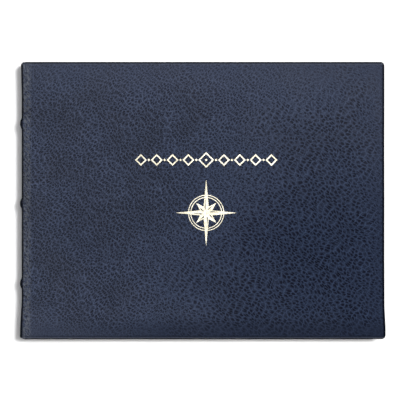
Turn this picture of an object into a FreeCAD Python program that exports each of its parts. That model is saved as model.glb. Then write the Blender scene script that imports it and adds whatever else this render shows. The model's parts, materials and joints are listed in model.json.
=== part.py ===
"""A leather-bound log book, lying on its back cover with the front cover up.

Frame: millimetres, +Z up. The origin is at the middle of the footprint, on the surface that the book lies on.
+X runs from the spine to the fore-edge and +Y from the tail of the book to its head.
The covers swing about the two long edges of the book's box on the spine side, so every leaf that turns
with a cover turns about the same line as that cover.
"""

import FreeCAD, Part
import os
import re

import Sketcher

DIMENSIONS = {
    # the closed book
    "cover_width": 242,
    "cover_height": 184,
    "book_thickness": 20,
    # the covers, from the outside in
    "leather": 1.0,
    "board": 2.3,
    "filling": 0.5,
    "paper": 0.2,
    "turn_in": 15,
    "edge_round": 0.9,
    "corner_round": 2.2,
    "hinge_cloth_width": 26,
    # the joints between the covers and the spine
    "joint_setback": 4.5,
    "joint_gap": 0.3,
    # the book block
    "square": 3.5,
    "section_count": 12,
    "leaf_gap": 0.05,
    "fold_depth": 3.6,
    "fold_round": 0.4,
    # what is glued and sewn to the folds, from the folds out
    "tape": 0.25,
    "tape_width": 10,
    "thread": 0.3,
    "mull": 0.2,
    "lining": 0.15,
    "lining_inset": 13,
    "stitch_overlap": 1.0,
    "kettle_inset": 8,
    "headband_radius": 1.2,
    "headband_skirt": 9,
    # the spine cover
    "spine_leather": 0.9,
    "spine_card": 0.6,
    "spine_round": 3.0,
    "band_rise": 1.0,
    "band_width": 5,
    "band_round": 0.7,
    "head_band_place": 51.2,
    "middle_band_place": -2.0,
    "tail_band_place": -55.1,
    # the gilt tooling: a row of lozenges, and a compass star in a double ring
    "foil": 0.06,
    "tooling_x": 2.7,
    "ornament_y": 26.9,
    "ornament_pitch": 10.5,
    "ornament_middle_room": 1.3,
    "ornament_line": 0.85,
    "large_lozenge": 10.4,
    "small_lozenge": 7.8,
    "bead": 1.7,
    "compass_y": -8.2,
    "outer_ring": 11.7,
    "inner_ring": 10.2,
    "ring_line": 0.5,
    "north_point": 22,
    "east_point": 20.4,
    "short_point": 9.4,
    "star_waist": 4.4,
}

PLACES = {
    "spine_edge": "-cover_width / 2",
    "fore_edge": "cover_width / 2",
    "head": "cover_height / 2",
    "tail": "-cover_height / 2",
    "top": "book_thickness",
    "joint": "spine_edge + joint_setback",
    "cover": "leather + board + filling + paper",
    "block_low": "cover + leaf_gap + paper + leaf_gap",
    "block_high": "top - block_low",
    "section_pitch": "(block_high - block_low + leaf_gap) / section_count",
    "folds": "spine_edge + fold_depth",
    "page_edge": "fore_edge - square",
    "page_head": "head - square",
    "page_tail": "tail + square",
    "tape_back": "folds - tape",
    "thread_back": "tape_back - thread",
    "mull_back": "thread_back - mull",
    "lining_back": "mull_back - lining",
    "spine_face": "spine_edge + band_rise",
    "card_back": "spine_face + spine_leather",
    "card_front": "card_back + spine_card",
}

LOZENGES_EACH_SIDE = 4
BANDS = ("head", "middle", "tail")

doc = FreeCAD.newDocument("log_book")
dims = doc.addObject("Spreadsheet::Sheet", "dims")
for row, (name, size) in enumerate(DIMENSIONS.items(), 1):
    dims.set(f"A{row}", name)
    dims.set(f"B{row}", str(size))
    dims.setAlias(f"B{row}", name)
doc.recompute()


def bound(formula):
    """A formula of dimension and place names, spelled the way the document reads it."""

    def spelled(word):
        if word[0] in PLACES:
            return "(" + bound(PLACES[word[0]]) + ")"
        return "dims." + word[0] if word[0] in DIMENSIONS else word[0]

    return re.sub(r"[a-z_]+", spelled, str(formula))


def new_body(label):
    """An empty body whose label names the piece."""
    body = doc.addObject("PartDesign::Body", label)
    body.Label = label
    return body


def add_box(body, x, y, z, kind="Additive"):
    """Adds or cuts a box between two places on each axis."""
    box = body.newObject(f"PartDesign::{kind}Box", f"{body.Label}_{kind.lower()}_box")
    for side, axis, (low, high) in zip(("Length", "Width", "Height"), "xyz", (x, y, z)):
        box.setExpression(side, bound(f"({high}) - ({low})"))
        box.setExpression(f"Placement.Base.{axis}", bound(low))
    doc.recompute()
    return box


def cut_box(body, x, y, z):
    """Cuts a box out of the body."""
    return add_box(body, x, y, z, "Subtractive")


def round_edges(body, radius, chosen):
    """Rounds each edge of the body that the test picks."""
    base = body.Tip
    picked = [f"Edge{i}" for i, edge in enumerate(base.Shape.Edges, 1) if chosen(edge)]
    fillet = body.newObject("PartDesign::Fillet", f"{body.Label}_round")
    fillet.Base = (base, picked)
    fillet.setExpression("Radius", bound(radius))
    doc.recompute()
    return fillet


def value(formula):
    """What a formula comes to in millimetres."""
    return float(doc.getObject("dims").evalExpression(bound(formula)))


def runs_along(edge, axis):
    """True for a straight edge parallel to an axis."""
    box = edge.BoundBox
    sides = {"x": box.XLength, "y": box.YLength, "z": box.ZLength}
    return sides.pop(axis) > 1e-6 and max(sides.values()) < 1e-6


def at(edge, axis, place):
    """True for an edge whose middle is at a place on an axis."""
    middle = {"x": 0, "y": 1, "z": 2}[axis]
    return abs(edge.BoundBox.Center[middle] - value(place)) < 1e-4


def sheet_piece(label, x, y, z):
    """A flat rectangular piece: a board, a card or a leaf of paper."""
    body = new_body(label)
    add_box(body, x, y, z)
    return body


def cover_pieces(side, outside, inside):
    """One cover: board, leather with its turned-in edges, filling, hinge cloth and pastedown.

    outside and inside are the signs that turn a depth from the outer face into a height.
    """

    def layer(low, high):
        """The heights between two depths from the cover's outer face."""
        ends = (f"{outside} {inside} ({low})", f"{outside} {inside} ({high})")
        return ends if inside == "+" else ends[::-1]

    start = "joint + joint_gap / 2"
    leather_depth = "leather + board + filling"
    hinge_end = "joint + joint_gap / 2 + hinge_cloth_width"
    board_x = (start, "fore_edge - leather")
    board_y = ("tail + leather", "head - leather")
    window_y = ("tail + turn_in", "head - turn_in")

    leather = new_body(f"{side}_cover_leather")
    add_box(leather, (start, "fore_edge"), ("tail", "head"), layer("0", leather_depth))
    round_edges(
        leather,
        "corner_round",
        lambda edge: runs_along(edge, "z") and at(edge, "x", "fore_edge"),
    )
    round_edges(
        leather,
        "edge_round",
        lambda edge: not runs_along(edge, "z") and not at(edge, "x", start),
    )
    cut_box(leather, board_x, board_y, layer("leather", "leather + board"))
    cut_box(leather, (start, "fore_edge - turn_in"), window_y, layer("leather + board", leather_depth))

    board = sheet_piece(f"{side}_board", board_x, board_y, layer("leather", "leather + board"))
    filling = sheet_piece(
        f"{side}_filling",
        (hinge_end, "fore_edge - turn_in"),
        window_y,
        layer("leather + board", leather_depth),
    )
    cloth = sheet_piece(
        f"{side}_hinge_cloth",
        (start, hinge_end),
        window_y,
        layer("leather + board", leather_depth),
    )
    pastedown = sheet_piece(
        f"{side}_pastedown",
        (start, "page_edge"),
        ("page_tail", "page_head"),
        layer(leather_depth, "cover"),
    )
    return [board, leather, filling, cloth, pastedown]


def flyleaf(side, low):
    """The free half of an endpaper."""
    return sheet_piece(
        f"{side}_flyleaf",
        ("folds", "page_edge"),
        ("page_tail", "page_head"),
        (low, f"{low} + paper"),
    )


def section(number):
    """One gathering of folded leaves, numbered from the front, with its fold at the spine."""
    body = new_body(f"section_{number:02d}")
    high = f"block_high - {number - 1} * section_pitch"
    add_box(
        body,
        ("folds", "page_edge"),
        ("page_tail", "page_head"),
        (f"{high} + leaf_gap - section_pitch", high),
    )
    round_edges(
        body, "fold_round", lambda edge: runs_along(edge, "y") and at(edge, "x", "folds")
    )
    return body


def sewing():
    """Three tapes across the folds, and the thread's runs over them with its kettle stitches."""
    pieces = []
    for band in BANDS:
        place = f"{band}_band_place"
        pieces.append(
            sheet_piece(
                f"{band}_sewing_tape",
                ("tape_back", "folds"),
                (f"{place} - tape_width / 2", f"{place} + tape_width / 2"),
                ("block_low", "block_high"),
            )
        )
    stitches = [
        (f"{band}_band_place", number)
        for band in BANDS
        for number in range(int(value("section_count")))
    ]
    runs = []
    for place, number in stitches:
        run = doc.addObject("Part::Cylinder", "thread_run")
        run.setExpression("Radius", bound("thread / 2"))
        run.setExpression("Height", bound("tape_width + stitch_overlap"))
        run.setExpression("Placement.Base.x", bound("tape_back - thread / 2"))
        run.setExpression("Placement.Base.y", bound(f"{place} + (tape_width + stitch_overlap) / 2"))
        run.setExpression("Placement.Base.z", bound(f"block_low + ({number} + 0.5) * section_pitch"))
        run.Placement.Rotation = FreeCAD.Rotation(FreeCAD.Vector(1, 0, 0), 90)
        runs.append(run)
    for end, step in (("page_head", "-"), ("page_tail", "+")):
        kettle = doc.addObject("Part::Cylinder", "kettle_stitch")
        kettle.setExpression("Radius", bound("thread / 2"))
        kettle.setExpression("Height", bound("block_high - block_low"))
        kettle.setExpression("Placement.Base.x", bound("tape_back - thread / 2"))
        kettle.setExpression("Placement.Base.y", bound(f"{end} {step} kettle_inset"))
        kettle.setExpression("Placement.Base.z", bound("block_low"))
        runs.append(kettle)
    thread = doc.addObject("Part::Compound", "sewing_thread")
    thread.Label = "sewing_thread"
    thread.Links = runs
    return pieces + [thread]


def spine_linings():
    """The open cloth and the kraft paper that are glued over the sewing."""
    cloth = sheet_piece(
        "spine_mull",
        ("mull_back", "thread_back"),
        ("page_tail + lining_inset / 2", "page_head - lining_inset / 2"),
        ("block_low", "block_high"),
    )
    kraft = sheet_piece(
        "spine_lining",
        ("lining_back", "mull_back"),
        ("page_tail + lining_inset", "page_head - lining_inset"),
        ("block_low", "block_high"),
    )
    return [cloth, kraft]


def end_band(label, end, outward):
    """The sewn bead at one end of the spine, on a cloth skirt that is glued over the mull."""
    body = new_body(label)
    skirt_low, skirt_high = f"{end} - ({outward} headband_skirt)", f"{end} {outward} headband_radius"
    span = (skirt_low, skirt_high) if outward == "+" else (skirt_high, skirt_low)
    add_box(body, ("lining_back", "mull_back"), span, ("block_low", "block_high"))
    bead = body.newObject("PartDesign::AdditiveCylinder", f"{label}_bead")
    bead.setExpression("Radius", bound("headband_radius"))
    bead.setExpression("Height", bound("block_high - block_low"))
    bead.setExpression("Placement.Base.x", bound("mull_back + headband_radius - lining / 2"))
    bead.setExpression("Placement.Base.y", bound(f"{end} {outward} (headband_radius + leaf_gap)"))
    bead.setExpression("Placement.Base.z", bound("block_low"))
    doc.recompute()
    return body


def spine_cover():
    """The spine's leather, its card stiffener and the three strips that raise the bands."""
    leather = new_body("spine_leather")
    end = "joint - joint_gap / 2"
    add_box(leather, ("spine_face", end), ("tail", "head"), ("0", "top"))
    round_edges(
        leather,
        "spine_round",
        lambda edge: runs_along(edge, "y") and at(edge, "x", "spine_face"),
    )
    for band in BANDS:
        place = f"{band}_band_place"
        add_box(
            leather,
            ("spine_edge", "card_back"),
            (
                f"{place} - band_width / 2 - spine_leather",
                f"{place} + band_width / 2 + spine_leather",
            ),
            ("spine_round - spine_leather", "top - spine_round + spine_leather"),
        )
    round_edges(
        leather,
        "band_round",
        lambda edge: at(edge, "x", "spine_edge") and edge.BoundBox.XLength < 1e-6,
    )
    hollow_y = ("tail + spine_leather", "head - spine_leather")
    hollow_z = ("spine_leather", "top - spine_leather")
    cut_box(leather, ("card_back", end), hollow_y, hollow_z)
    round_edges(
        leather,
        "spine_round - spine_leather",
        lambda edge: runs_along(edge, "y")
        and at(edge, "x", "card_back")
        and (at(edge, "z", "spine_leather") or at(edge, "z", "top - spine_leather"))
    )
    cut_box(leather, ("card_front", end), ("tail", "head"), hollow_z)

    pieces = [leather]
    for band in BANDS:
        place = f"{band}_band_place"
        strip = (
            ("spine_edge + spine_leather", "card_back"),
            (f"{place} - band_width / 2", f"{place} + band_width / 2"),
            ("spine_round", "top - spine_round"),
        )
        cut_box(leather, *strip)
        pieces.append(sheet_piece(f"{band}_raised_band", *strip))
    pieces.append(
        sheet_piece(
            "spine_card",
            ("card_back", "card_front"),
            hollow_y,
            ("spine_round", "top - spine_round"),
        )
    )
    return pieces


def floor_sketch(body, name):
    """A sketch on the body's own floor plane, lifted to the top of the cover."""
    plane = next(p for p in body.Origin.OriginFeatures if p.Role == "XY_Plane")
    sketch = body.newObject("Sketcher::SketchObject", name)
    sketch.AttachmentSupport = [(plane, "")]
    sketch.MapMode = "FlatFace"
    sketch.setExpression("AttachmentOffset.Base.z", bound("top"))
    return sketch


def pin(sketch, element, point, x, y):
    """Holds one point of a sketch element at two formulas, measured from the sketch's origin."""
    for kind, formula in (("DistanceX", x), ("DistanceY", y)):
        held = sketch.addConstraint(
            Sketcher.Constraint(kind, -1, 1, element, point, value(formula))
        )
        sketch.setExpression(f"Constraints[{held}]", bound(formula))


def draw_polygon(sketch, corners):
    """Draws a closed outline through corners that are pairs of formulas."""
    first = sketch.GeometryCount
    points = [FreeCAD.Vector(value(x), value(y), 0) for x, y in corners]
    for start, end in zip(points, points[1:] + points[:1]):
        sketch.addGeometry(Part.LineSegment(start, end))
    for step, (x, y) in enumerate(corners):
        following = first + (step + 1) % len(corners)
        sketch.addConstraint(Sketcher.Constraint("Coincident", first + step, 2, following, 1))
        pin(sketch, first + step, 1, x, y)


def draw_circle(sketch, x, y, radius):
    """Draws a circle whose centre and radius are formulas."""
    centre = FreeCAD.Vector(value(x), value(y), 0)
    ring = sketch.addGeometry(Part.Circle(centre, FreeCAD.Vector(0, 0, 1), value(radius)))
    pin(sketch, ring, 3, x, y)
    held = sketch.addConstraint(Sketcher.Constraint("Radius", ring, value(radius)))
    sketch.setExpression(f"Constraints[{held}]", bound(radius))


def stamp(body, sketch):
    """Gives a sketch the foil's thickness, on top of the cover."""
    pad = body.newObject("PartDesign::Pad", f"{sketch.Name}_stamp")
    pad.Profile = sketch
    pad.setExpression("Length", bound("foil"))
    doc.recompute()


def lozenge(x, half):
    """The corners of a square lozenge in the ornament's row, from its half diagonal."""
    return [
        (f"{x} - ({half})", "ornament_y"),
        (x, f"ornament_y - ({half})"),
        (f"{x} + {half}", "ornament_y"),
        (x, f"ornament_y + {half}"),
    ]


def draw_open_lozenge(sketch, x, half):
    """Draws a lozenge with a smaller one inside it, a line's width apart."""
    draw_polygon(sketch, lozenge(x, half))
    draw_polygon(sketch, lozenge(x, f"{half} - ornament_line * sqrt(2)"))


def ornament_foil():
    """A row of open lozenges with beads between them, the middle one larger and with a bead inside."""
    body = new_body("ornament_foil")
    sketch = floor_sketch(body, "ornament")
    draw_open_lozenge(sketch, "tooling_x", "large_lozenge / 2")
    draw_polygon(sketch, lozenge("tooling_x", "bead / 2"))
    for side in ("-", "+"):
        for step in range(1, LOZENGES_EACH_SIDE + 1):
            place = f"tooling_x {side} ({step} * ornament_pitch + ornament_middle_room)"
            bead_place = f"tooling_x {side} (({step} - 0.5) * ornament_pitch + ornament_middle_room)"
            draw_open_lozenge(sketch, place, "small_lozenge / 2")
            draw_polygon(sketch, lozenge(bead_place, "bead / 2"))
    stamp(body, sketch)
    return body


def around(turn, reach):
    """A point at a distance and a direction, in degrees, from the middle of the compass star."""
    return (
        f"tooling_x + ({reach}) * cos({turn})",
        f"compass_y + ({reach}) * sin({turn})",
    )


def compass_foil():
    """An upright compass star, open along one side of each point, over a double ring."""
    body = new_body("compass_foil")
    star = floor_sketch(body, "compass_star")
    reaches = ["east_point", "short_point", "north_point", "short_point"] * 2
    rim = []
    for eighth, reach in enumerate(reaches):
        turn = eighth * 45
        rim += [around(turn, reach), around(turn + 22.5, "star_waist")]
        draw_polygon(
            star,
            [
                around(turn + 9, "star_waist * 0.45"),
                around(turn + 18, "star_waist * 0.82"),
                around(turn + 3, f"star_waist + ({reach} - star_waist) * 0.35"),
            ],
        )
    draw_polygon(star, rim)
    stamp(body, star)

    rings = floor_sketch(body, "compass_rings")
    for ring in ("outer_ring", "inner_ring"):
        draw_circle(rings, "tooling_x", "compass_y", f"{ring} + ring_line / 2")
        draw_circle(rings, "tooling_x", "compass_y", f"{ring} - ring_line / 2")
    stamp(body, rings)
    return body


pieces = cover_pieces("back", "0", "+")
pieces.append(flyleaf("back", "cover + leaf_gap"))
pieces += [section(number) for number in range(1, int(value("section_count")) + 1)]
pieces += sewing()
pieces += spine_linings()
pieces.append(end_band("headband", "page_head", "+"))
pieces.append(end_band("tailband", "page_tail", "-"))
pieces += spine_cover()
pieces.append(flyleaf("front", "top - cover - leaf_gap - paper"))
pieces += cover_pieces("front", "top", "-")
pieces += [ornament_foil(), compass_foil()]

doc.recompute()
for made in doc.Objects:
    if {"Invalid", "Error"} & set(made.State):
        raise RuntimeError(f"{made.Name} failed: {made.State}")
for piece in pieces:
    if piece.Shape.isNull() or not piece.Shape.isValid():
        raise RuntimeError(f"{piece.Label} has no valid shape")

os.makedirs("parts", exist_ok=True)
for piece in pieces:
    piece.Shape.exportStep(f"parts/{piece.Label}.step")
    box = piece.Shape.BoundBox
    print(
        f"{piece.Label:22s} {len(piece.Shape.Solids):3d} solids {piece.Shape.Volume:12.1f} mm3"
        f"  z {box.ZMin:6.2f} to {box.ZMax:6.2f}"
    )
print(len(pieces), "pieces")
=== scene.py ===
"""The looks of a leather-bound log book: leather, tooling, sewn leaves, endpapers and headbands.

Lengths are in millimetres until a mesh is made, in the frame of the CAD model: +X from the spine to the
fore-edge, +Y to the head, +Z up through the front cover.
"""

import json
import math
import random

import bmesh
import bpy
import numpy as np
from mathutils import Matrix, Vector


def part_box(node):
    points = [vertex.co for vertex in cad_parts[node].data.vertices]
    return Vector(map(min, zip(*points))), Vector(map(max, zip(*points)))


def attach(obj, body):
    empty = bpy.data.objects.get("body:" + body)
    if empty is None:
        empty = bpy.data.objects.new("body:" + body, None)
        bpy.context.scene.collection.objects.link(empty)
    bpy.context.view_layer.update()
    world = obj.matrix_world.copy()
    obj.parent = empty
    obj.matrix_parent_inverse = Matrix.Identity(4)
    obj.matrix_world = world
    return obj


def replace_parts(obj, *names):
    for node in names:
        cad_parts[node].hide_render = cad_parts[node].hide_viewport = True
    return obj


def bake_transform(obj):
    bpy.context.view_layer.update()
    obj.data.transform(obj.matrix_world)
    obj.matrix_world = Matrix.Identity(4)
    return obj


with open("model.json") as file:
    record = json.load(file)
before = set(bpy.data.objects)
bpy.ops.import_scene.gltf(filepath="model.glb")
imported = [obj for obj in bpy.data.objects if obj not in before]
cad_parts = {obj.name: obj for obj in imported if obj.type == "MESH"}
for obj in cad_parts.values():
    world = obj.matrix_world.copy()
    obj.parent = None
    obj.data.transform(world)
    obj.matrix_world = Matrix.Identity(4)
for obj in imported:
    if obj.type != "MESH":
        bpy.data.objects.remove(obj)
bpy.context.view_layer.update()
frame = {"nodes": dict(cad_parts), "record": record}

MM = 0.001
NODES = frame["nodes"]


def box_mm(node):
    """A CAD node's lowest and highest corner, in millimetres."""
    low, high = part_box(node)
    return np.array(low) / MM, np.array(high) / MM


# ---------------------------------------------------------------- places, from the frame

SPINE_LOW, SPINE_HIGH = box_mm("spine_leather")
COVER_LOW, COVER_HIGH = box_mm("front_cover_leather")
BLOCK_LOW, BLOCK_HIGH = box_mm("section_12")[0], box_mm("section_01")[1]
CARD_END = box_mm("spine_card")[1][1]

BAND_RISE = 1.0
SPINE_X = SPINE_LOW[0] + BAND_RISE
TOP = SPINE_HIGH[2]
MIDDLE = TOP / 2
FORE_EDGE = COVER_HIGH[0]
HEAD = COVER_HIGH[1]
COVER_START = COVER_LOW[0]
COVER_THICKNESS = TOP - COVER_LOW[2]
BAND_NAMES = ("head", "middle", "tail")
BANDS = [sum(box_mm(f"{band}_raised_band"))[1] / 2 for band in BAND_NAMES]

SPINE_ROUND = 3.0       # radius of the spine's two long corners
SPINE_SKIN = 0.85       # thickness of the leather over the spine
EDGE_ROUND = 0.95       # largest radius of the cover's edge
RIM = 2.6               # how far in from the edge the edge's own rows of faces reach
INNER_SHIFT = 400       # keeps the grain of the leather's inner face apart from the outer face's


# ---------------------------------------------------------------- meshes

def make_mesh(name, vertices, faces, points=None, smooth=True):
    """An object from vertices in millimetres, with an optional texture position for each one."""
    mesh = bpy.data.meshes.new(name)
    mesh.from_pydata((np.asarray(vertices, float) * MM).tolist(), [], faces)
    shell = bmesh.new()
    shell.from_mesh(mesh)
    bmesh.ops.recalc_face_normals(shell, faces=shell.faces)
    shell.to_mesh(mesh)
    shell.free()
    if points is not None:
        attribute = mesh.attributes.new("sheet", "FLOAT_VECTOR", "POINT")
        attribute.data.foreach_set("vector", np.asarray(points, np.float32).ravel())
    mesh.polygons.foreach_set("use_smooth", [smooth] * len(mesh.polygons))
    piece = bpy.data.objects.new(name, mesh)
    bpy.context.scene.collection.objects.link(piece)
    return piece


def join_rows(faces, first, second):
    """Adds the faces between two rows of vertices, as triangles where a corner repeats."""
    for a, b, c, d in zip(first, first[1:], second[1:], second):
        corners = list(dict.fromkeys((a, b, c, d)))
        if len(corners) > 2:
            faces.append(corners)


def tube_faces(rings, around):
    """The faces of a tube made of rings of vertices, closed at both ends."""
    faces = []
    for ring in range(rings - 1):
        for step in range(around):
            a, b = ring * around + step, ring * around + (step + 1) % around
            faces.append((a, b, b + around, a + around))
    faces.append(tuple(range(around))[::-1])
    faces.append(tuple(range((rings - 1) * around, rings * around)))
    return faces


def follow(path):
    """The direction of a path, and the length of it so far, at each of its points."""
    ahead = np.gradient(path, axis=0)
    ahead /= np.linalg.norm(ahead, axis=1)[:, None]
    steps = np.linalg.norm(np.diff(path, axis=0), axis=1)
    return ahead, np.concatenate([[0], np.cumsum(steps)])


def smoothstep(low, high, value):
    """0 below low, 1 above high and a smooth rise between."""
    part = np.clip((np.asarray(value, float) - low) / (high - low), 0, 1)
    return part * part * (3 - 2 * part)


def waves(x, y, seed, lengths, turns=5):
    """A smooth, seeded ripple about 0 with the given wavelengths, at most about 1 high."""
    draw = random.Random(seed)
    total = np.zeros(np.broadcast(x, y).shape)
    for length in lengths:
        for _ in range(turns):
            turn = draw.uniform(0, 2 * math.pi)
            phase = draw.uniform(0, 2 * math.pi)
            reach = length * draw.uniform(0.75, 1.3)
            along = x * math.cos(turn) + y * math.sin(turn)
            total = total + np.sin(2 * math.pi * along / reach + phase)
    return total / (turns * len(lengths))


# ---------------------------------------------------------------- leather

def section_columns():
    """The leather's outer line from the middle of the spine face to the fore-edge's rim.

    Each column is x, z, the outward direction, the length along the line and the thickness under it.
    """
    columns = []
    length_before_cover = COVER_START - (SPINE_X + SPINE_ROUND)
    arc_length = SPINE_ROUND * math.pi / 2
    for z in np.linspace(MIDDLE, TOP - SPINE_ROUND, 7)[:-1]:
        length = SPINE_X + SPINE_ROUND - arc_length - (TOP - SPINE_ROUND - z)
        columns.append((SPINE_X, z, -1.0, 0.0, length, SPINE_SKIN))
    for turn in np.linspace(math.pi, math.pi / 2, 13)[:-1]:
        centre_x, centre_z = SPINE_X + SPINE_ROUND, TOP - SPINE_ROUND
        length = SPINE_X + SPINE_ROUND - SPINE_ROUND * (turn - math.pi / 2)
        columns.append((
            centre_x + SPINE_ROUND * math.cos(turn),
            centre_z + SPINE_ROUND * math.sin(turn),
            math.cos(turn),
            math.sin(turn),
            length,
            SPINE_SKIN,
        ))
    for share in np.linspace(0, 1, 4):
        x = SPINE_X + SPINE_ROUND + share * length_before_cover
        columns.append((x, TOP, 0.0, 1.0, x, SPINE_SKIN))
    near = np.linspace(COVER_START + 0.01, COVER_START + 6, 9)
    far = np.linspace(COVER_START + 6, FORE_EDGE - RIM, 44)[1:]
    for x in np.concatenate([near, far]):
        columns.append((x, TOP, 0.0, 1.0, x, COVER_THICKNESS))
    return np.array(columns)


def rim_path(thickness):
    """The leather's edge seen from its end, as distances in from the edge and down from the face."""
    round_ = min(EDGE_ROUND, thickness * 0.49)
    turns = np.linspace(0, math.pi / 2, 6)
    flat = [(inward, 0.0) for inward in (2.15, 1.75, 1.35)]
    upper = [(round_ * (1 - math.sin(t)), round_ * (1 - math.cos(t))) for t in turns]
    lower = [(inward, thickness - down) for inward, down in reversed(upper)]
    return np.array(flat + upper + lower)


def corner_inset(x, z, head):
    """How far the spine's end is cut back where it rounds over to the spine face."""
    depth = 1.3 if head else 1.1
    return depth * smoothstep(SPINE_X + 4.2, SPINE_X - 0.4, x) ** 1.5 * smoothstep(TOP - 9, TOP - 1, z)


def relief(x, y, z, inward, front):
    """How far the outer skin stands out: bands, the ridges along the joint, soft waves and an edge bead."""
    band_half_width, band_height = 3.3, 1.2
    on_spine = smoothstep(COVER_START - 0.9, SPINE_X + 0.9, x)
    rise = np.zeros(x.shape)
    for place in BANDS:
        crest = np.clip(1 - np.abs((y - place) / band_half_width) ** 2.2, 0, 1)
        rise = rise + band_height * crest ** 0.8 * on_spine
    tail = smoothstep(-HEAD + 17, -HEAD + 2, y)
    upper = smoothstep(TOP - 2.6, TOP - 0.7, z)
    # Each ridge: its way in from the spine, width, height, swing toward the tail, and seed.
    for place, width, height, swing, seed in ((2.0, 0.85, 0.34, 1.2, 7), (4.5, 0.7, 0.24, 0.8, 11)):
        short = 0.9 * waves(x * 0.25, y + x * 0.9, seed, (3.6, 6.5))
        long = 0.4 * waves(x * 0.1, y, seed, (18, 31))
        away = (x - SPINE_X - place - swing * tail) / width
        rise = rise + height * np.exp(-(away**2)) * (1 + short + long) * upper
    away = (x - SPINE_X - 3.2 - tail) / 0.6
    rise = rise - 0.10 * np.exp(-(away**2)) * upper
    calm = smoothstep(HEAD - 1, HEAD - 14, np.abs(y)) * smoothstep(SPINE_X + 8, SPINE_X + 22, x)
    calm = calm * smoothstep(FORE_EDGE - 1, FORE_EDGE - 14, x)
    if front:
        rise = rise - 0.05 * calm * (1 + waves(x, y, 3, (34, 55, 80)))
    bead = 0.10 * np.exp(-(((inward - 1.3) / 0.42) ** 2))
    furrow = 0.09 * np.exp(-(((inward - 2.3) / 0.45) ** 2))
    return rise + bead - furrow


def edge_drift(x, y):
    """The small ways in which the real outline leaves a rectangle: flared spine ends, an eased corner."""
    flare = 1.1 * smoothstep(-HEAD + 30, -HEAD + 3, y) + 0.4 * smoothstep(HEAD - 26, HEAD - 4, y)
    spine = -flare * smoothstep(SPINE_X + 5, SPINE_X, x)
    fore = 0.75 * smoothstep(-HEAD + 24, -HEAD + 5, y) * smoothstep(FORE_EDGE - 14, FORE_EDGE, x)
    hand = 0.12 * waves(y, y * 0.0, 19, (60, 100)) * smoothstep(FORE_EDGE - 8, FORE_EDGE, x)
    return spine + fore + hand


def leather_skin(front):
    """The leather round one cover and over half of the spine, as one skin, open only at mid-spine.

    It is built as the front cover's. The back cover's is its mirror image in height.
    """
    columns = section_columns()
    middle_length = columns[0][4]
    rows = np.linspace(0, 1, 156)
    corner_turns = np.linspace(0, math.pi / 2, 8)[1:-1]
    wanted, faces = [], []

    def place(x, y, z, out_x, out_z, down, inward, u, v):
        """Notes one vertex: a point of the outer line, and how far down and in from the edge it lies."""
        wanted.append((x, y, z, out_x, out_z, down, inward, u, v))
        return len(wanted) - 1

    ends = []
    top, bottom = [], []
    for x, z, out_x, out_z, length, thickness in columns:
        head = HEAD - float(corner_inset(x, z, True))
        tail = -HEAD + float(corner_inset(x, z, False))
        ends.append((tail, head))
        ys = tail + RIM + rows * (head - tail - 2 * RIM)
        top.append([place(x, y, z, out_x, out_z, 0.0, RIM, length, y) for y in ys])
        bottom.append([place(x, y, z, out_x, out_z, thickness, RIM, length, y + INNER_SHIFT) for y in ys])
    for grid in (top, bottom):
        for left, right in zip(grid, grid[1:]):
            join_rows(faces, left, right)

    last_x, last_z = columns[-1][:2]
    loops = []
    for step in range(len(rim_path(COVER_THICKNESS))):
        loop = []
        for (x, z, out_x, out_z, length, thickness), (tail, head) in zip(columns, ends):
            inward, down = rim_path(thickness)[step]
            loop.append(place(x, head - inward, z, out_x, out_z, down, inward, length, head - inward + down))
        inward, down = rim_path(COVER_THICKNESS)[step]
        reach = RIM - inward
        corner = []
        for turn in corner_turns:
            corner.append((last_x + reach * math.sin(turn), HEAD - RIM + reach * math.cos(turn)))
        edge = [(last_x + reach, -HEAD + RIM + share * (2 * HEAD - 2 * RIM)) for share in rows[::-1]]
        other = [(x, -y) for x, y in corner[::-1]]
        for x, y in corner + edge + other:
            loop.append(place(x, y, last_z, 0.0, 1.0, down, inward, x + down, y))
        for (x, z, out_x, out_z, length, thickness), (tail, head) in list(zip(columns, ends))[::-1]:
            inward, down = rim_path(thickness)[step]
            loop.append(place(x, tail + inward, z, out_x, out_z, down, inward, length, tail + inward - down))
        loops.append(loop)

    def border(grid):
        """The grid's edge in the loops' order, its two outer corners repeated."""
        head = [line[-1] for line in grid]
        tail = [line[0] for line in grid][::-1]
        turns = len(corner_turns)
        return head + [head[-1]] * turns + grid[-1][::-1] + [tail[0]] * turns + tail

    rings = [border(top)] + loops + [border(bottom)]
    for upper, lower in zip(rings, rings[1:]):
        join_rows(faces, upper, lower)

    x, y, z, out_x, out_z, down, inward, u, v = np.array(wanted).T
    rise = relief(x, y, z, inward, front) * np.clip(1 - down / 0.5, 0, 1)
    px = x + out_x * (rise - down) + edge_drift(x, y)
    pz = z + out_z * (rise - down)
    if not front:
        pz = np.maximum(TOP - pz, 0.0)
        u = 2 * middle_length - u
    vertices, points = np.stack([px, y, pz], 1), np.stack([u, v, v * 0], 1)
    return make_mesh("leather_front" if front else "leather_back", vertices, faces, points)


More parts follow.
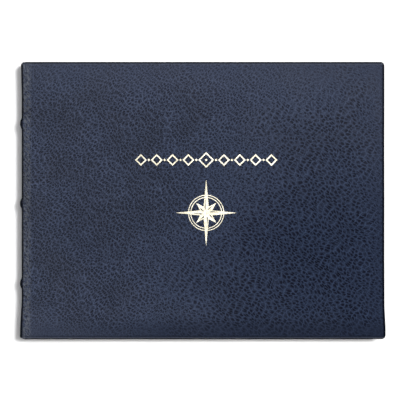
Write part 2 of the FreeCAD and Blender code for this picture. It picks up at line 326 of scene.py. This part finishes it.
def headcap(name, outward):
    """The leather folded over the spine card's end: a rounded bar, bent round the spine's two corners."""
    bend, inset, around = 2.0, 1.15, 20
    centre_y = outward * (CARD_END - 0.3)
    corner_x, corner_z = SPINE_X + inset + bend, TOP - inset - bend
    upper = [(corner_x + 0.35, TOP - inset)]
    for turn in np.linspace(math.pi / 2, math.pi, 9):
        upper.append((corner_x + bend * math.cos(turn), corner_z + bend * math.sin(turn)))
    face = [(SPINE_X + inset, z) for z in np.linspace(corner_z, TOP - corner_z, 14)[1:-1]]
    path = np.array(upper + face + [(x, TOP - z) for x, z in upper[::-1]])
    ahead, length = follow(path)
    vertices, points = [], []
    for (x, z), (along_x, along_z), run in zip(path, ahead, length):
        end = min(run, length[-1] - run)
        close = math.sqrt(1 - max(0.0, 1 - end / 0.8) ** 2 * 0.6)
        pucker = 1 + 0.05 * math.sin(run * 2.9) + 0.03 * math.sin(run * 5.3)
        for step in range(around):
            turn = 2 * math.pi * step / around
            side, lift = 1.0 * math.cos(turn) * close, 1.12 * math.sin(turn) * close * pucker
            vertices.append((x - along_z * side, centre_y + lift, z + along_x * side))
            points.append((run + 500, turn * 1.1 + 60 * outward, 0))
    return make_mesh(name, vertices, tube_faces(len(path), around), points)


# ---------------------------------------------------------------- paper

class Sheets:
    """Collects the sheets of paper that make one piece."""

    def __init__(self):
        self.vertices, self.points, self.faces = [], [], []

    def add(self, path, thickness, low_y, high_y, number, rows=7):
        """Adds a sheet that follows a path in x and z, closed all round."""
        path = np.array(path)
        ahead, _ = follow(path)
        normal = np.stack([-ahead[:, 1], ahead[:, 0]], 1)
        grids, rims = [], []
        for side in (0.5, -0.5):
            edge = path + normal * thickness * side
            grid = []
            for y in np.linspace(low_y, high_y, rows):
                first = len(self.vertices)
                self.vertices += [(x, y, z) for x, z in edge]
                self.points += [(x, y, number) for x, z in edge]
                grid.append(list(range(first, len(self.vertices))))
            inner = grid[1:-1]
            rim = grid[0] + [row[-1] for row in inner] + grid[-1][::-1] + [row[0] for row in inner][::-1]
            grids.append(grid)
            rims.append(rim + rim[:1])
        above, below = grids
        for a, b in zip(above, above[1:]):
            join_rows(self.faces, a, b)
        for a, b in zip(below, below[1:]):
            join_rows(self.faces, b, a)
        join_rows(self.faces, rims[1], rims[0])

    def piece(self, name):
        """The sheets as one flat-shaded object."""
        return make_mesh(name, self.vertices, self.faces, self.points, smooth=False)


# How far from the fold a leaf's cross-lines lie: close together in the gutter, where it bends.
LEAF_STEPS = np.concatenate([
    np.linspace(0, 3, 7)[1:],
    np.linspace(3, 34, 27)[1:],
    np.linspace(34, 232, 12)[1:-1],
])
LEAVES_PER_SECTION = 8
PAPER_SHARE = 0.93      # of the pitch between leaves, the rest is air


def section_piece(name):
    """One gathering: four sheets folded inside each other, each a hair longer or shorter at the fore-edge."""
    low, high = box_mm(name)
    number = int(name.split("_")[1])
    draw = random.Random(100 + number)
    pitch = (high[2] - low[2]) / LEAVES_PER_SECTION
    middle = (low[2] + high[2]) / 2
    start_x = low[0] + 0.9
    sheets = Sheets()
    for fold in range(LEAVES_PER_SECTION // 2):
        half = pitch * (LEAVES_PER_SECTION / 2 - fold - 0.5)
        fold_x = low[0] + half + 0.06 + pitch * 0.5 + fold * 0.02
        path = []
        reach = high[0] - low[0]
        for side in (1, -1):
            run = reach + draw.uniform(-0.32, 0.0)
            flat = [x for x in start_x + LEAF_STEPS if x > fold_x + 0.05] + [low[0] + run]
            leaf = [(x, middle + side * half) for x in flat]
            path += leaf[::-1] if side > 0 else leaf
            if side > 0:
                for turn in np.linspace(math.pi / 2, 3 * math.pi / 2, 7)[1:-1]:
                    path.append((fold_x + half * math.cos(turn), middle + half * math.sin(turn)))
        trim = draw.uniform(0, 0.12)
        top_trim = draw.uniform(0, 0.12)
        sheets.add(path, pitch * PAPER_SHARE, low[1] + trim, high[1] - top_trim, number * 10 + fold)
    return sheets.piece(f"leaves_{number:02d}")


def leaf_piece(name, number, thickness, xs, z, low_y, high_y):
    """One flat sheet of paper, with a cross-line at each of the given places."""
    sheets = Sheets()
    sheets.add([(x, z) for x in xs], thickness, low_y, high_y, number)
    return sheets.piece(name)


def end_band_piece(name, node):
    """A headband: silk wound round a core, with a ridge for each turn and a bead along the front."""
    low, high = box_mm(node)
    outward = 1 if low[1] > 0 else -1
    radius = 1.15
    centre_x = high[0] - radius
    centre_y = (high[1] if outward > 0 else low[1]) - outward * radius
    around, per_turn, turns = 16, 6, 26
    rings = turns * per_turn + 1
    vertices, points = [], []
    for ring in range(rings):
        share = ring / (rings - 1)
        z = low[2] + 0.15 + share * (high[2] - low[2] - 0.3)
        swell = 1 + 0.11 * abs(math.sin(math.pi * ring / per_turn))
        ends = min(1.0, 0.35 + 8 * min(share, 1 - share))
        for step in range(around):
            turn = 2 * math.pi * step / around
            r = radius * swell * ends * (1.0 if math.sin(turn) * outward > -0.2 else 0.92)
            vertices.append((centre_x + r * math.cos(turn), centre_y + r * math.sin(turn), z))
            points.append((z, radius * turn, ring / per_turn))
    return make_mesh(name, vertices, tube_faces(rings, around), points)


# ---------------------------------------------------------------- materials

class Shade:
    """A material's node tree, with one short call for each kind of node."""

    def __init__(self, name):
        self.material = bpy.data.materials.new(name)
        self.material.use_nodes = True
        self.tree = self.material.node_tree
        self.shader = self.tree.nodes["Principled BSDF"]

    def put(self, socket, value):
        """Links a node's output to a socket, or sets the socket to a plain value."""
        if isinstance(value, bpy.types.NodeSocket):
            self.tree.links.new(value, socket)
        elif value is not None:
            socket.default_value = value

    def node(self, kind, **settings):
        made = self.tree.nodes.new(kind)
        for name, value in settings.items():
            setattr(made, name, value)
        return made

    def sheet(self):
        """The stored texture position of a piece that bends, in millimetres."""
        return self.node("ShaderNodeAttribute", attribute_name="sheet").outputs["Vector"]

    def position(self):
        """The place on an unmoved CAD piece, in millimetres."""
        place = self.node("ShaderNodeTexCoord").outputs["Object"]
        return self.scaled(place, (1 / MM,) * 3)

    def scaled(self, vector, scale=(1.0, 1.0, 1.0), turn=0.0):
        """A vector turned in its plane after it is scaled."""
        mapping = self.node("ShaderNodeMapping")
        self.put(mapping.inputs["Vector"], vector)
        mapping.inputs["Scale"].default_value = scale
        mapping.inputs["Rotation"].default_value = (0, 0, turn)
        return mapping.outputs["Vector"]

    def split(self, vector):
        parts = self.node("ShaderNodeSeparateXYZ")
        self.put(parts.inputs[0], vector)
        return parts.outputs[0], parts.outputs[1], parts.outputs[2]

    def math(self, operation, a, b=None, c=None, clamp=False):
        made = self.node("ShaderNodeMath", operation=operation, use_clamp=clamp)
        for socket, value in zip(made.inputs, (a, b, c)):
            self.put(socket, value)
        return made.outputs[0]

    def combine(self, operation, first, *others):
        """One operation over several values, from left to right."""
        for other in others:
            first = self.math(operation, first, other)
        return first

    def ramp(self, value, low, high, to_low=0.0, to_high=1.0):
        """A smooth rise from one value to another between two inputs."""
        made = self.node("ShaderNodeMapRange", interpolation_type="SMOOTHSTEP")
        for socket, given in zip(made.inputs, (value, low, high, to_low, to_high)):
            self.put(socket, given)
        return made.outputs[0]

    def noise(self, vector, size, detail=2.0, rough=0.5, colour=False, flat=True):
        made = self.node("ShaderNodeTexNoise", noise_dimensions="2D" if flat else "3D")
        self.put(made.inputs["Vector"], vector)
        made.inputs["Scale"].default_value = 1 / size
        made.inputs["Detail"].default_value = detail
        made.inputs["Roughness"].default_value = rough
        return made.outputs["Color" if colour else "Fac"]

    def cells(self, vector, size, feature, output="Distance"):
        made = self.node("ShaderNodeTexVoronoi", voronoi_dimensions="2D", feature=feature)
        self.put(made.inputs["Vector"], vector)
        made.inputs["Scale"].default_value = 1 / size
        made.inputs["Randomness"].default_value = 0.85
        return made.outputs[output]

    def add_vector(self, a, b, scale):
        """a plus b, where b is a colour about 0.5, times a scale."""
        centred = self.node("ShaderNodeVectorMath", operation="SUBTRACT")
        self.put(centred.inputs[0], b)
        centred.inputs[1].default_value = (0.5, 0.5, 0.5)
        made = self.node("ShaderNodeVectorMath", operation="MULTIPLY_ADD")
        self.put(made.inputs[0], centred.outputs[0])
        made.inputs[1].default_value = (scale, scale, 0)
        self.put(made.inputs[2], a)
        return made.outputs[0]

    def mix(self, share, a, b):
        made = self.node("ShaderNodeMix", data_type="RGBA")
        self.put(made.inputs[0], share)
        for socket, value in ((made.inputs[6], a), (made.inputs[7], b)):
            self.put(socket, (*value, 1.0) if isinstance(value, tuple) else value)
        return made.outputs[2]

    def blend(self, share, a, b):
        """A number between two others."""
        made = self.node("ShaderNodeMix", data_type="FLOAT")
        for socket, value in ((made.inputs[0], share), (made.inputs[2], a), (made.inputs[3], b)):
            self.put(socket, value)
        return made.outputs[0]

    def bump(self, height, depth, strength=1.0):
        made = self.node("ShaderNodeBump")
        self.put(made.inputs["Height"], height)
        made.inputs["Distance"].default_value = depth * MM
        made.inputs["Strength"].default_value = strength
        return made.outputs[0]

    def finish(self, colour, roughness, normal=None, specular=0.5, metallic=0.0):
        """Sets the shader: each value but metallic may be a number or a link."""
        if isinstance(colour, tuple):
            colour = (*colour, 1.0)
        self.put(self.shader.inputs["Base Color"], colour)
        self.put(self.shader.inputs["Roughness"], roughness)
        self.put(self.shader.inputs["Normal"], normal)
        self.put(self.shader.inputs["Specular IOR Level"], specular)
        self.shader.inputs["Metallic"].default_value = metallic
        return self.material


def leather_material():
    """Dark blue-grey pebbled calf, with pits in a web of fine crests."""
    # Painted light among these: a sheen grey, a tail shade, a crease highlight, an edge shade and a bead
    # highlight.
    sheen_grey, shade_blue = (0.0480, 0.0500, 0.0640), (0.0040, 0.0080, 0.0220)
    rubbed_highlight, edge_shade, bright = (0.1150, 0.1250, 0.1450), (0.0010, 0.0018, 0.0050), (0.0750, 0.0840, 0.1050)
    s = Shade("navy_leather")
    place = s.sheet()
    u, y, _ = s.split(place)
    middle = float(section_columns()[0][4])
    x = s.math("ADD", s.math("ABSOLUTE", s.math("SUBTRACT", u, middle)), middle)
    from_head = s.math("SUBTRACT", HEAD, y)
    from_tail = s.math("ADD", HEAD, y)
    from_fore = s.math("SUBTRACT", FORE_EDGE, x)
    from_spine = s.math("SUBTRACT", x, SPINE_X)
    patches = s.noise(place, 26, 3, 0.6)
    drift = s.math("MULTIPLY", s.math("SUBTRACT", s.noise(place, 60, 2), 0.5), 110)

    # The grain: two kinds that flow opposite ways, one by the spine's side and one by the fore-edge's.
    warped = s.add_vector(place, s.noise(place, 24, 2, 0.5, colour=True), 7.0)
    warped = s.add_vector(warped, s.noise(place, 4.5, 2, 0.55, colour=True), 1.3)

    def grain(turn, size, long_way, crests, pits, web):
        """Cells drawn out one way, with crests between them and a pit in the middle of each."""
        turned = s.scaled(warped, turn=math.radians(turn))
        laid = s.scaled(turned, (1 / long_way, 1.0, 1.0))
        tone = s.split(s.cells(laid, size, "F1", "Color"))[0]
        crest = s.ramp(s.cells(laid, size, "DISTANCE_TO_EDGE"), web, 0.0)
        pit = s.combine("MULTIPLY", s.ramp(s.cells(laid, size, "F1"), 0.42, 0.12),
                        s.ramp(tone, 0.05, 0.70, 0.30, 1.0))
        return s.math("SUBTRACT", s.math("MULTIPLY", crest, crests), s.math("MULTIPLY", pit, pits))

    coarse = grain(34, size=1.95, long_way=1.75, crests=1.20, pits=1.15, web=0.17)
    fine = grain(-42, size=1.55, long_way=1.7, crests=1.75, pits=1.15, web=0.23)
    side = s.math("ADD", s.math("SUBTRACT", x, s.math("MULTIPLY", y, 0.6)), drift)
    height = s.blend(s.ramp(side, -40, 60), fine, coarse)

    # It is flatter toward the edges and the spine's tail corner.
    corner = s.math("ADD", from_spine, s.math("MULTIPLY", from_tail, 2.4))
    strength = s.combine(
        "MULTIPLY",
        s.ramp(from_head, 1, 34, 0.35, 1.0),
        s.ramp(from_fore, 2, 24, 0.40, 1.0),
        s.ramp(from_tail, 1, 15, 0.50, 1.0),
        s.ramp(corner, 25, 85, 0.35, 1.0),
        s.ramp(patches, 0.32, 0.6, 0.7, 1.0),
    )
    height = s.math("MULTIPLY", height, strength)
    speckle = s.noise(place, 0.75, 3, 0.65)
    height = s.math("MULTIPLY_ADD", s.math("SUBTRACT", speckle, 0.5), 2.0, height)

    # Fine creases run aslant across the joint.
    turned = s.scaled(place, turn=math.radians(-28))
    creases = s.noise(s.scaled(turned, (1.0, 0.42, 1.0)), 1.0, 2, 0.6)
    at_joint = s.math("MULTIPLY", s.ramp(from_spine, 1.0, 1.9), s.ramp(from_spine, 7.5, 4.6))
    creases = s.math("MULTIPLY", s.ramp(creases, 0.42, 0.58), at_joint)
    height = s.math("MULTIPLY_ADD", creases, 0.9, height)

    # Painted sheen: deep navy toward the fore-edge and tail, lighter and greyer toward the spine and head.
    share = s.math("MULTIPLY_ADD", height, 0.80, 0.42, clamp=True)
    deep = s.mix(share, (0.0003, 0.0016, 0.0110), (0.0245, 0.0392, 0.0810))
    wear_and_sheen = s.mix(share, (0.0045, 0.0070, 0.0190), (0.0590, 0.0785, 0.1385))
    far = s.math("MULTIPLY", s.ramp(s.math("ADD", x, drift), -150, 95), s.ramp(y, 112, -38))
    sheen_share = s.math("SUBTRACT", 1.0, far)
    colour = s.mix(sheen_share, deep, wear_and_sheen)
    # A grey painted sheen over the lit part, broken up by the patches.
    sheen_share = s.math("MULTIPLY", sheen_share, s.ramp(patches, 0.30, 0.70, 0.20, 0.34))
    colour = s.mix(sheen_share, colour, sheen_grey)
    # Lighter along the joint's creases: a painted highlight on their crests, with rubbed leather.
    colour = s.mix(s.math("MULTIPLY", creases, 0.70), colour, rubbed_highlight)
    # Darker toward the tail, most toward the fore-edge: painted shade.
    tail_shade = s.math("MULTIPLY", s.ramp(from_tail, 17, 5), s.ramp(x, -125, -20, 0.25, 1.0))
    colour = s.mix(s.math("MULTIPLY", tail_shade, 0.50), colour, shade_blue)

    def line(away, low, high, soft=0.35):
        """A thin band of the leather, a given way in from one of its edges."""
        begins = s.ramp(away, low - soft, low + soft)
        ends = s.ramp(away, high + soft, high - soft)
        return s.math("MULTIPLY", begins, ends)

    # The edges: painted shade where the leather rolls over, with a painted highlight on the bead just inside.
    rolled_shade = s.combine(
        "MAXIMUM",
        line(from_head, -0.5, 1.1),
        line(from_fore, -0.5, 1.5),
        line(from_tail, -0.5, 0.6),
        line(from_tail, 1.75, 2.15),
        s.math("MULTIPLY", s.ramp(from_spine, -4.4, -0.8), s.ramp(from_spine, 1.85, 1.15)),
    )
    colour = s.mix(s.math("MULTIPLY", rolled_shade, 0.90), colour, edge_shade)
    # A painted highlight on the bead just inside the head and tail.
    bead = s.math("MAXIMUM", line(from_head, 1.35, 1.85), line(from_tail, 1.0, 1.4))
    colour = s.mix(s.math("MULTIPLY", bead, 0.55), colour, bright)
    rough = s.math("MULTIPLY_ADD", share, -0.08, 0.70)
    rough = s.math("MULTIPLY_ADD", creases, -0.15, rough)
    shine = s.ramp(rolled_shade, 0.0, 1.0, 0.18, 0.02)
    return s.finish(colour, rough, s.bump(height, 0.45), specular=shine)


def gilt_material():
    """Pale gold foil pressed on the grain: bright, a little broken, warmer in its hollows."""
    s = Shade("gilt_foil")
    place = s.position()
    wear_and_sheen = s.noise(place, 0.9, 3, 0.65)
    broad = s.noise(place, 5, 2)
    colour = s.mix(s.ramp(broad, 0.35, 0.65), (0.34, 0.315, 0.235), (0.42, 0.395, 0.315))
    colour = s.mix(s.ramp(wear_and_sheen, 0.58, 0.72, 0.0, 0.7), colour, (0.24, 0.22, 0.18))
    normal = s.bump(s.noise(place, 0.6, 2), 0.03, 0.6)
    return s.finish(colour, s.ramp(wear_and_sheen, 0.3, 0.7, 0.34, 0.52), normal, metallic=0.6)


def paper_material(name, light, dark, ruled=False, from_sheet=True):
    """Uncoated paper with faint fibres. A ruled page has a plain grid of hairlines inside its margins."""
    s = Shade(name)
    place = s.sheet() if from_sheet else s.position()
    x, y, _ = s.split(place)
    fibres = s.noise(s.scaled(place, (1.0, 0.35, 1.0), turn=0.4), 0.5, 4, 0.65)
    clouds = s.noise(place, 11, 3)
    colour = s.mix(s.math("MULTIPLY_ADD", fibres, 0.5, s.math("MULTIPLY", clouds, 0.4)), dark, light)
    if ruled:
        left, right = BLOCK_LOW[0] + 14, BLOCK_HIGH[0] - 10
        low, high = BLOCK_LOW[1] + 11, BLOCK_HIGH[1] - 12
        inside = s.combine(
            "MULTIPLY",
            s.math("GREATER_THAN", x, left),
            s.math("LESS_THAN", x, right),
            s.math("GREATER_THAN", y, low),
            s.math("LESS_THAN", y, high),
        )

        def hairlines(coordinate, start, pitch, width):
            """Thin lines across a coordinate, one each pitch from the start."""
            first = s.math("SUBTRACT", coordinate, start - pitch / 2)
            turn = s.math("FRACT", s.math("DIVIDE", first, pitch))
            off = s.math("MULTIPLY", s.math("ABSOLUTE", s.math("SUBTRACT", turn, 0.5)), pitch)
            return s.ramp(off, width, width * 0.4)

        lines = s.math("MULTIPLY", hairlines(y, low, 7.0, 0.22), inside)
        columns = s.math("MULTIPLY", hairlines(x, left, (right - left) / 9, 0.24), inside)
        colour = s.mix(s.math("MULTIPLY", lines, 0.55), colour, (0.30, 0.42, 0.55))
        colour = s.mix(s.math("MULTIPLY", columns, 0.6), colour, (0.52, 0.22, 0.20))
    normal = s.bump(fibres, 0.02, 0.5)
    return s.finish(colour, 0.88, normal, specular=0.2)


def board_material(name, light, dark, size):
    """Pressed board or card, mottled and matt."""
    s = Shade(name)
    place = s.position()
    mottle = s.noise(place, size, 5, 0.7, flat=False)
    colour = s.mix(s.ramp(mottle, 0.35, 0.65), dark, light)
    return s.finish(colour, 0.92, s.bump(mottle, 0.08, 0.6), specular=0.15)


def cloth_material(name, light, dark, pitch):
    """Plain woven cloth, with a thread over and a thread under."""
    s = Shade(name)
    x, y, z = s.split(s.position())
    across = s.math("SINE", s.math("MULTIPLY", s.math("ADD", x, z), 2 * math.pi / pitch))
    along = s.math("SINE", s.math("MULTIPLY", y, 2 * math.pi / pitch))
    weave = s.math("MULTIPLY_ADD", s.math("MULTIPLY", across, along), 0.5, 0.5)
    colour = s.mix(weave, dark, light)
    return s.finish(colour, 0.9, s.bump(weave, 0.08, 0.8), specular=0.15)


def headband_material():
    """Silk wound in turns of two colours."""
    s = Shade("headband_silk")
    _, around, turn = s.split(s.sheet())
    stripe = s.math("GREATER_THAN", s.math("FRACT", s.math("MULTIPLY", turn, 0.25)), 0.5)
    strands = s.noise(s.scaled(s.sheet(), (4.0, 0.6, 1.0)), 0.7, 3)
    colour = s.mix(stripe, (0.030, 0.050, 0.125), (0.66, 0.61, 0.48))
    colour = s.mix(s.math("MULTIPLY", strands, 0.4), colour, (0.10, 0.11, 0.14))
    return s.finish(colour, 0.5, s.bump(strands, 0.05, 0.7))


def floor_material():
    """A plain pale studio sweep."""
    s = Shade("floor_paper")
    tone = s.noise(s.position(), 220, 2)
    colour = s.mix(tone, (0.90, 0.90, 0.905), (0.915, 0.915, 0.92))
    return s.finish(colour, 0.9, specular=0.1)


# ---------------------------------------------------------------- the book

def give(piece, material):
    """Gives a new piece its material."""
    piece.data.materials.clear()
    piece.data.materials.append(material)
    return piece


def dress(node, material):
    """Gives a CAD node a better material."""
    NODES[node].data.materials.clear()
    NODES[node].data.materials.append(material)


leather = leather_material()
page_paper = paper_material("page_paper", (0.70, 0.665, 0.575), (0.62, 0.58, 0.48), ruled=True)
end_paper = paper_material("end_paper", (0.66, 0.60, 0.48), (0.57, 0.51, 0.385))
pasted_paper = paper_material("pasted_paper", (0.66, 0.60, 0.48), (0.57, 0.51, 0.385), from_sheet=False)
kraft = board_material("kraft_paper", (0.42, 0.29, 0.17), (0.34, 0.23, 0.13), 1.5)
greyboard = board_material("greyboard", (0.36, 0.34, 0.31), (0.22, 0.21, 0.19), 0.9)
filling = board_material("filling_card", (0.70, 0.66, 0.57), (0.60, 0.56, 0.47), 1.2)
mull = cloth_material("mull_cloth", (0.74, 0.70, 0.60), (0.36, 0.33, 0.27), 0.9)
linen = cloth_material("linen", (0.70, 0.65, 0.54), (0.44, 0.40, 0.32), 0.5)
gilt = gilt_material()
silk = headband_material()

FLYLEAF, JOINT_PAPER = 0.16, 0.03
for front, cover in ((True, "front_cover"), (False, "back_cover")):
    skin = give(leather_skin(front), leather)
    nodes = (f"{cover}_leather", "spine_leather") if front else (f"{cover}_leather",)
    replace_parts(skin, *nodes)
    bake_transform(skin)

for name, outward in (("headcap_head", 1), ("headcap_tail", -1)):
    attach(give(headcap(name, outward), leather), "book_block")

for name, node in (("headband_silk", "headband"), ("tailband_silk", "tailband")):
    band = give(end_band_piece(name, node), silk)
    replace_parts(band, node)
    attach(band, "book_block")

bodies = frame["record"]["behaviour"]["bodies"]
for number in range(1, 13):
    node = f"section_{number:02d}"
    leaves = give(section_piece(node), page_paper)
    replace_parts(leaves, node)
    if node in bodies:
        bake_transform(leaves)
    else:
        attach(leaves, "book_block")

for node, parent in (("front_flyleaf", "book_block"), ("back_flyleaf", "back_cover")):
    low, high = box_mm(node)
    xs = [low[0]] + [x for x in low[0] + LEAF_STEPS if x < high[0] - 1] + [high[0]]
    leaf = leaf_piece(f"{node}_sheet", 200, FLYLEAF, xs, (low[2] + high[2]) / 2, low[1], high[1])
    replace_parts(give(leaf, end_paper), node)
    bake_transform(leaf)

for side in ("front", "back"):
    low, high = box_mm(f"{side}_pastedown")
    inner = low[2] - 0.02 if side == "front" else high[2] + 0.02
    xs = np.linspace(BLOCK_LOW[0], low[0] + 3, 42)
    strip = leaf_piece(f"{side}_joint_paper", 210, JOINT_PAPER, xs, inner, low[1], high[1])
    give(strip, end_paper)
    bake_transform(strip)

for side in ("front", "back"):
    dress(f"{side}_board", greyboard)
    dress(f"{side}_filling", filling)
    dress(f"{side}_hinge_cloth", mull)
    dress(f"{side}_pastedown", pasted_paper)
for band in BAND_NAMES:
    dress(f"{band}_sewing_tape", linen)
    dress(f"{band}_raised_band", greyboard)
dress("sewing_thread", linen)
dress("spine_mull", mull)
dress("spine_lining", kraft)
dress("spine_card", kraft)
dress("ornament_foil", gilt)
dress("compass_foil", gilt)


# ---------------------------------------------------------------- stage

def make_floor():
    """A wide pale floor, just under the book."""
    half = 3000.0
    corners = [(-half, -half, -0.02), (half, -half, -0.02), (half, half, -0.02), (-half, half, -0.02)]
    floor = make_mesh("studio_floor", corners, [(0, 1, 2, 3)])
    floor.data.materials.append(floor_material())


def make_light(name, place, size, power, aim=(0, 0, 0), spread=180):
    """A square soft light that looks at a point. Its place and size are in metres."""
    data = bpy.data.lights.new(name, "AREA")
    data.spread = math.radians(spread)
    data.size = size
    data.energy = power
    lamp = bpy.data.objects.new(name, data)
    lamp.location = place
    lamp.rotation_euler = (Vector(aim) - Vector(place)).to_track_quat("-Z", "Y").to_euler()
    bpy.context.scene.collection.objects.link(lamp)


def make_world(strength):
    """An even pale surround."""
    world = bpy.data.worlds.new("studio")
    world.use_nodes = True
    world.node_tree.nodes["Background"].inputs["Color"].default_value = (1.0, 1.0, 1.0, 1.0)
    world.node_tree.nodes["Background"].inputs["Strength"].default_value = strength
    bpy.context.scene.world = world


def make_camera():
    """Straight down on the front cover, with a long lens."""
    data = bpy.data.cameras.new("camera")
    data.lens, data.sensor_width = 135, 36
    view_width, view_x, view_y = 265.3, -1.4, 0.33
    height = TOP + view_width * data.lens / data.sensor_width
    camera = bpy.data.objects.new("camera", data)
    camera.location = (view_x * MM, view_y * MM, height * MM)
    bpy.context.scene.collection.objects.link(camera)
    bpy.context.scene.camera = camera


make_floor()
make_world(0.25)
make_light("key", (0.96, 0.48, 3.2), 0.45, 92)
make_light("sheen", (0.10, 0.10, 1.0), 0.4, 1.3, aim=(-0.05, 0.02, 0), spread=90)
make_camera()
bpy.context.scene.view_settings.view_transform = "Standard"
